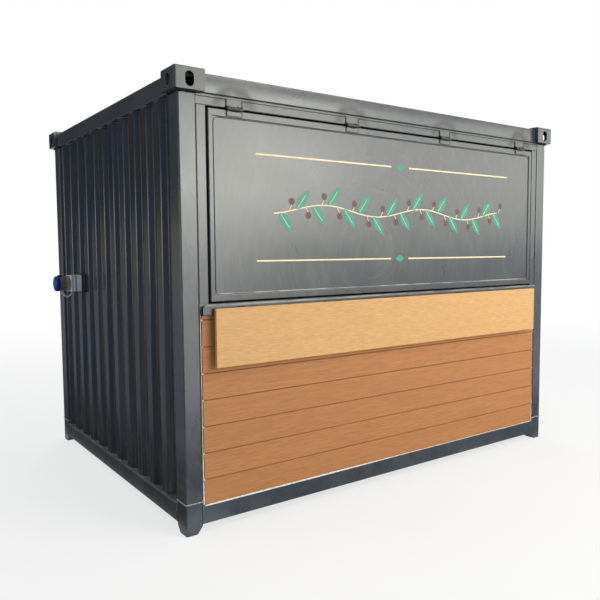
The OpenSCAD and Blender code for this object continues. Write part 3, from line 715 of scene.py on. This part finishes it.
def leaf(x, z, length, width, angle):
    """Outline of a pointed leaf that grows from (x, z)."""
    along = Vector((math.cos(angle), math.sin(angle)))
    across = Vector((-along.y, along.x))
    half = [(t, math.sin(math.pi * t ** 0.8) * width / 2) for t in (i / 10 for i in range(11))]
    edge = half + [(t, -w) for t, w in reversed(half[1:-1])]
    return [tuple(Vector((x, z)) + t * length * along + w * across) for t, w in edge]


def disc(x, z, radius, sides=28):
    """Outline of a round spot."""
    turns = [2 * math.pi * k / sides for k in range(sides)]
    return [(x + radius * math.cos(t), z + radius * math.sin(t)) for t in turns]


def stripe(points, width):
    """Outline of a line of even width through (x, z) points."""
    one, other = [], []
    for i, p in enumerate(points):
        a, b = Vector(points[max(i - 1, 0)]), Vector(points[min(i + 1, len(points) - 1)])
        across = Vector((-(b - a).y, (b - a).x)).normalized() * width / 2
        one.append(tuple(Vector(p) + across))
        other.append(tuple(Vector(p) - across))
    return one + other[::-1]


def hatch_decoration():
    """A plain leaf garland between two ruled lines, painted on the hatch."""
    panel_low, panel_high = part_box("hatch_panel")
    middle = (panel_low.z + panel_high.z) / 2
    under, over, top = 0.0004, 0.0006, 0.0008              # lifts of the films
    stem_half, stem_steps, stroke = 1.0, 120, 8
    leaf_count, leaf_pitch, first_leaf = 17, 0.12, -0.96
    lean, vein_length = math.radians(52), 0.110
    berry_ahead, berry_aside, berry_radius = 0.085, 0.052, 0.021
    rule_aside, rule_near, rule_far = 0.30, 0.08, 1.12
    diamond_half, diamond_rise = 0.042, 0.026
    cream, green, brown = bmesh.new(), bmesh.new(), bmesh.new()

    def wave(x):
        """Height of the stem."""
        return middle + 0.030 * math.sin(x * 2 * math.pi / 0.84)

    places = [-stem_half + 2 * stem_half * i / stem_steps for i in range(stem_steps + 1)]
    stem = [(x, wave(x)) for x in places]
    for first in range(0, stem_steps, stroke):
        flat_shape(cream, stripe(stem[first:first + stroke + 1], 0.007), under)
    for i in range(leaf_count):
        x = first_leaf + leaf_pitch * i
        side = 1 if i % 2 else -1
        flat_shape(green, leaf(x, wave(x), 0.150, 0.060, side * lean), over)
        vein = [(x + vein_length * t * math.cos(lean), wave(x) + side * vein_length * t * math.sin(lean))
                for t in (0.1, 0.5, 1.0)]
        flat_shape(cream, stripe(vein, 0.003), top)
        berry_x = x + berry_ahead
        berry_z = wave(berry_x) - side * berry_aside
        flat_shape(brown, disc(berry_x, berry_z, berry_radius), over)
        stalk = [(berry_x - 0.020, wave(berry_x - 0.020)), (berry_x, berry_z + side * 0.018)]
        flat_shape(cream, stripe(stalk, 0.004), under)
    for z in (middle + rule_aside, middle - rule_aside):
        for x0, x1 in ((-rule_far, -rule_near), (rule_near, rule_far)):
            flat_shape(cream, stripe([(x0, z), (x1, z)], 0.009), under)
        diamond = [(-diamond_half, z), (0, z - diamond_rise), (diamond_half, z), (0, z + diamond_rise)]
        flat_shape(green, diamond, over)
    for name, bm, material in (("hatch_print_cream", cream, PRINT_CREAM),
                               ("hatch_print_green", green, PRINT_GREEN),
                               ("hatch_print_brown", brown, PRINT_BROWN)):
        piece(name, bm, material, "hatch")


def inlet_chain():
    """Short chain that hangs from the inlet's cap to its box."""
    middle_y = (BOX_LOW.y + BOX_HIGH.y) / 2
    start = Vector((CAP_HIGH.x + 0.012, middle_y - 0.02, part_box("inlet_body")[0].z + 0.002))
    end = Vector((BOX_LOW.x + 0.016, middle_y - 0.03, BOX_LOW.z))
    count, drop, wire, twist = 8, 0.040, 0.0026, 20
    half_length, half_width, straight, points = 0.0085, 0.0055, 0.004, 16
    link = []
    for a in (2 * math.pi * k / points for k in range(points)):
        along = half_length * math.cos(a) + math.copysign(straight, math.cos(a))
        link.append(Vector((along, half_width * math.sin(a), 0)))
    bm = bmesh.new()
    for i in range(count):
        t = (i + 0.5) / count
        centre = start.lerp(end, t) - Vector((0, 0, drop * 4 * t * (1 - t)))
        slope = math.atan2((end - start).z - drop * 4 * (1 - 2 * t), (end - start).x)
        roll = math.radians(90 * (i % 2) + twist)
        turn = Matrix.Rotation(-slope, 3, "Y") @ Matrix.Rotation(roll, 3, "X")
        sweep(bm, [centre + turn @ p for p in link], wire, BEAD_SIDES, closed=True)
    piece("inlet_chain", bm, ZINC, "kiosk")


def inlet_screws():
    """Four screws in the front of the inlet's box."""
    from_side, from_edge, proud = 0.014, 0.016, 0.0012
    bm = bmesh.new()
    for z in (BOX_LOW.z + from_edge, BOX_HIGH.z - from_edge):
        for x in (BOX_LOW.x + from_side, BOX_HIGH.x - from_side):
            screw = bmesh.ops.create_cone(bm, cap_ends=True, segments=20,
                                          radius1=0.0045, radius2=0.0036, depth=0.003)
            for v in screw["verts"]:
                v.co = Vector((x + v.co.x, BOX_LOW.y - proud - v.co.z, z + v.co.y))
    piece("inlet_screws", bm, ZINC, "kiosk")


def inlet_lid_tab():
    """Thumb tab on the lid of the inlet's cap."""
    middle_y = (BOX_LOW.y + BOX_HIGH.y) / 2
    root_x, root_z = CAP_HIGH.x - 0.006, CAP_HIGH.z - 0.006
    half_width = 0.011
    outline = [(0.0, 0.0), (0.026, 0.0), (0.032, 0.006), (0.032, 0.013), (0.0, 0.013)]
    bm = bmesh.new()
    for y in (middle_y - half_width, middle_y + half_width):
        bm.faces.new([bm.verts.new((root_x + u, y, root_z + w)) for u, w in outline])
    a, b = list(bm.faces)
    for i in range(len(outline)):
        j = (i + 1) % len(outline)
        bm.faces.new((a.verts[i], a.verts[j], b.verts[j], b.verts[i]))
    piece("inlet_lid_tab", bm, INLET_BLUE, "kiosk")


def hinge_spans():
    """Left and right end of each hatch hinge."""
    lefts = [HINGE_LOW.x + i * HINGE_PITCH for i in range(HINGE_COUNT)]
    return [(left, left + HINGE_WIDTH) for left in lefts]


def hinge_shade_lines():
    """Painted shade on the hatch's hinges: dark lines over the knuckles and down one side of the upper
    leaves.
    """
    ledge_y, ledge_z = HEADER_Y - 0.0065, HINGE_PIN_Z + 0.0105
    side_y, side_z = HEADER_Y - 0.0025, HINGE_PIN_Z + 0.012
    bm = bmesh.new()
    for left, right in hinge_spans():
        ledge = [(left + 0.003, ledge_y, ledge_z), (right - 0.003, ledge_y, ledge_z)]
        side = [(right + 0.002, side_y, side_z), (right + 0.002, side_y, HINGE_HIGH.z)]
        bead(bm, ledge, 0.0020, 0.1, 0.25)
        bead(bm, side, 0.0026, 0.1, 0.25)
    piece("hinge_shade_lines", bm, DARK_JOINT_AND_SHADE, "kiosk")


def header_seam():
    """Thin dark joint along the header, a little under the top rail and broken at the hinges."""
    low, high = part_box("front_header")
    z = high.z - 0.016
    ends = [low.x]
    for left, right in hinge_spans():
        ends += [left - 0.004, right + 0.006]
    ends.append(high.x)
    bm = bmesh.new()
    for start, end in zip(ends[::2], ends[1::2]):
        bead(bm, [(start, HEADER_Y, z), (end, HEADER_Y, z)], 0.0021, 0.0, 0.15, step=0.02)
    piece("header_seam", bm, DARK_JOINT_AND_SHADE, "kiosk")


post_welds()
rail_welds()
wall_welds()
sealant_lines()
hatch_seam()
hatch_decoration()
inlet_chain()
inlet_screws()
inlet_lid_tab()
hinge_shade_lines()
header_seam()


def whitened(s, share, mirrored):
    """Mixes white into what camera, mirror and glass rays see of a floor, and leaves it its shadow."""
    rays = s.tree.nodes.new("ShaderNodeLightPath")
    direct = s.larger(rays.outputs["Is Camera Ray"], rays.outputs["Is Transmission Ray"])
    seen = s.larger(s.times(direct, share), s.times(rays.outputs["Is Glossy Ray"], mirrored))
    white = s.add("ShaderNodeEmission", Strength=1.0)
    both = s.add("ShaderNodeMixShader")
    s.put(both.inputs[0], seen)
    s.put(both.inputs[1], s.surface.outputs[0])
    s.put(both.inputs[2], white.outputs[0])
    s.put(s.tree.nodes["Material Output"].inputs["Surface"], both.outputs[0])


def studio_floor():
    """Pale floor that fades to white away from the kiosk."""
    bpy.ops.mesh.primitive_plane_add(size=160)
    floor = bpy.context.object
    floor.name = "floor"
    s = Shader("floor", Specular_IOR_Level=0.1)
    s.finish(s.mix(s.span(s.noise(0.6, 3), 0.3, 0.7), FLOOR_GREY, FLOOR_PALE), 0.9)
    whitened(s, s.span(s.reach(s.x, s.y), 2.5, 11.0, 0.70, 1.0), 0.30)
    floor.data.materials.append(s.material)


def card(name, corners, colour):
    """A reflector card: it shows only in the gloss of surfaces."""
    mesh = bpy.data.meshes.new(name)
    mesh.from_pydata(corners, [], [(0, 1, 2, 3)])
    material = bpy.data.materials.new(name)
    material.use_nodes = True
    material.node_tree.nodes.clear()
    glow = material.node_tree.nodes.new("ShaderNodeEmission")
    glow.inputs["Color"].default_value = (*colour, 1)
    output = material.node_tree.nodes.new("ShaderNodeOutputMaterial")
    material.node_tree.links.new(glow.outputs[0], output.inputs["Surface"])
    mesh.materials.append(material)
    obj = bpy.data.objects.new(name, mesh)
    bpy.context.scene.collection.objects.link(obj)
    obj.visible_camera = obj.visible_diffuse = obj.visible_shadow = obj.visible_transmission = False


def lying(x0, y0, x1, y1, lift):
    """Corners of a card that lies just over the floor."""
    return [(x0, y0, lift), (x1, y0, lift), (x1, y1, lift), (x0, y1, lift)]


def upright(start, end, low, high):
    """Corners of a card that stands between two (x, y) points."""
    return [(*start, low), (*end, low), (*end, high), (*start, high)]


def fanned(near, far, left, right, lift):
    """Corners of a floor card, by reach and turn in degrees from the viewpoint that the front mirrors."""
    corners = []
    for reach, degrees in ((near, left), (near, right), (far, right), (far, left)):
        turn = math.radians(degrees)
        x = VIEW_POINT[0] + reach * math.sin(turn)
        y = 2 * FRONT_Y - VIEW_POINT[1] - reach * math.cos(turn)
        corners.append((x, y, lift))
    return corners


def gloss_cards():
    """Cards for what the kiosk mirrors outdoors: ground, shade and sky."""
    front_start, front_middle, front_end = (0.95, -7.7), (2.3, -7.7), (4.8, -7.7)
    rear, middle, near = (-1.2, 10.8), (-4.8, 9.43), (-9.6, 7.6)
    far, last = (-13.5, 0.5), (-3.5, -11.5)
    for name, corners, colour in (
            ("card_floor_near", lying(-2.2, -14, -1.64, 44, 0.004), (0.02, 0.02, 0.02)),
            ("card_floor_left", lying(-30, -14, -2.2, 44, 0.004), (0.25, 0.27, 0.32)),
            ("card_floor_front", fanned(5.2, 10.5, 22.5, 29, 0.003), (3.4, 3.3, 3.1)),
            ("card_floor_foot", lying(-2.0, -1.5, -1.25, -1.2, 0.004), (0.90, 1.10, 1.35)),
            ("card_floor_shade", lying(-2.0, -3.36, 3.0, -1.2, 0.0035), (0.14, 0.21, 0.32)),
            ("card_front", upright(front_start, front_middle, 0.0, 1.8), (4.6, 4.5, 4.2)),
            ("card_front_low", upright(front_middle, front_end, 0.0, 1.75), (0.40, 0.43, 0.46)),
            ("card_blue", upright(far, last, 0.0, 9.0), (0.26, 0.36, 0.56)),
            ("card_strip_rear", upright(rear, middle, 1.0, 2.2), (0.05, 0.05, 0.05)),
            ("card_strip", upright(middle, near, 1.0, 2.2), (0.42, 0.40, 0.36)),
            ("card_dark", upright(rear, near, 2.2, 4.3), (0.02, 0.02, 0.02)),
            ("card_grey", upright(rear, near, 4.3, 12.0), (0.07, 0.07, 0.08)),
            ("card_far_low", upright(near, far, 0.0, 0.9), (0.20, 0.22, 0.25)),
            ("card_far", upright(near, far, 0.9, 2.9), (4.2, 4.0, 3.6)),
            ("card_far_high", upright(near, far, 3.0, 12.0), (0.25, 0.27, 0.30))):
        card(name, corners, colour)


def soft_light(name, place, target, width, height, watts, glossy=True):
    """A rectangular softbox at a place, turned to its target; it isn't seen by the camera."""
    light = bpy.data.lights.new(name, "AREA")
    light.shape = "RECTANGLE"
    light.size, light.size_y, light.energy = width, height, watts
    light.color = LAMP_COLOUR
    lamp = bpy.data.objects.new(name, light)
    lamp.location = place
    lamp.rotation_mode = "QUATERNION"
    lamp.rotation_quaternion = (Vector(target) - Vector(place)).to_track_quat("-Z", "Y")
    lamp.visible_camera, lamp.visible_glossy = False, glossy
    bpy.context.scene.collection.objects.link(lamp)


def soft_lights():
    """Wide soft keys at the front, fills at left and rear, and a top light."""
    soft_light("key_left", (2.2, -7.8, 2.95), (0, -1.1, 2.2), 4.6, 2.1, 265)
    soft_light("key_high", (2.6, -6.0, 6.6), (0.2, -1.1, 1.0), 4.0, 2.5, 200)
    soft_light("key_right", (5.4, -5.2, 2.75), (0, -1.1, 1.9), 3.4, 2.1, 66)
    soft_light("fill_left", (-8.5, 4.0, 4.5), (-1.6, 0, 1.2), 3.0, 3.0, 150, glossy=False)
    soft_light("fill_rear", (3.0, 9.0, 4.0), (0, 1.2, 1.2), 4.0, 3.0, 200)
    soft_light("top", (0.5, 0.5, 8.5), (0, 0, 2.5), 6.0, 6.0, 150)


def studio_world():
    """A grey-blue fill from all round, which camera, mirror and glass rays see as plain white."""
    world = bpy.data.worlds.new("studio")
    bpy.context.scene.world = world
    world.use_nodes = True
    tree = world.node_tree

    def larger(a, b):
        node = tree.nodes.new("ShaderNodeMath")
        node.operation = "MAXIMUM"
        tree.links.new(a, node.inputs[0])
        tree.links.new(b, node.inputs[1])
        return node.outputs[0]

    rays = tree.nodes.new("ShaderNodeLightPath").outputs
    seen = larger(larger(rays["Is Camera Ray"], rays["Is Glossy Ray"]), rays["Is Transmission Ray"])
    level = tree.nodes.new("ShaderNodeMix")
    level.data_type = "RGBA"
    level.inputs[6].default_value = (*SKY_FILL, 1)
    level.inputs[7].default_value = (*WHITE, 1)
    tree.links.new(seen, level.inputs[0])
    tree.links.new(level.outputs[2], tree.nodes["Background"].inputs["Color"])


def photo_camera():
    """A camera at the photograph's viewpoint."""
    yaw, pitch, roll = VIEW_YAW, VIEW_PITCH, VIEW_ROLL
    ahead = Vector((math.sin(yaw) * math.cos(pitch), math.cos(yaw) * math.cos(pitch), math.sin(pitch)))
    right = Vector((math.cos(yaw), -math.sin(yaw), 0))
    up = right.cross(ahead)
    across = math.cos(roll) * right + math.sin(roll) * up
    above = -math.sin(roll) * right + math.cos(roll) * up
    data = bpy.data.cameras.new("camera")
    data.sensor_width, data.lens = SENSOR_MM, FOCAL_PIXELS * SENSOR_MM / PHOTO_PIXELS
    data.clip_end = 400
    camera = bpy.data.objects.new("camera", data)
    turn = Matrix((across, above, -ahead)).transposed().to_4x4()
    camera.matrix_world = Matrix.Translation(VIEW_POINT) @ turn
    bpy.context.scene.collection.objects.link(camera)
    bpy.context.scene.camera = camera


studio_floor()
gloss_cards()
soft_lights()
studio_world()
photo_camera()
bpy.context.scene.view_settings.view_transform = "Standard"
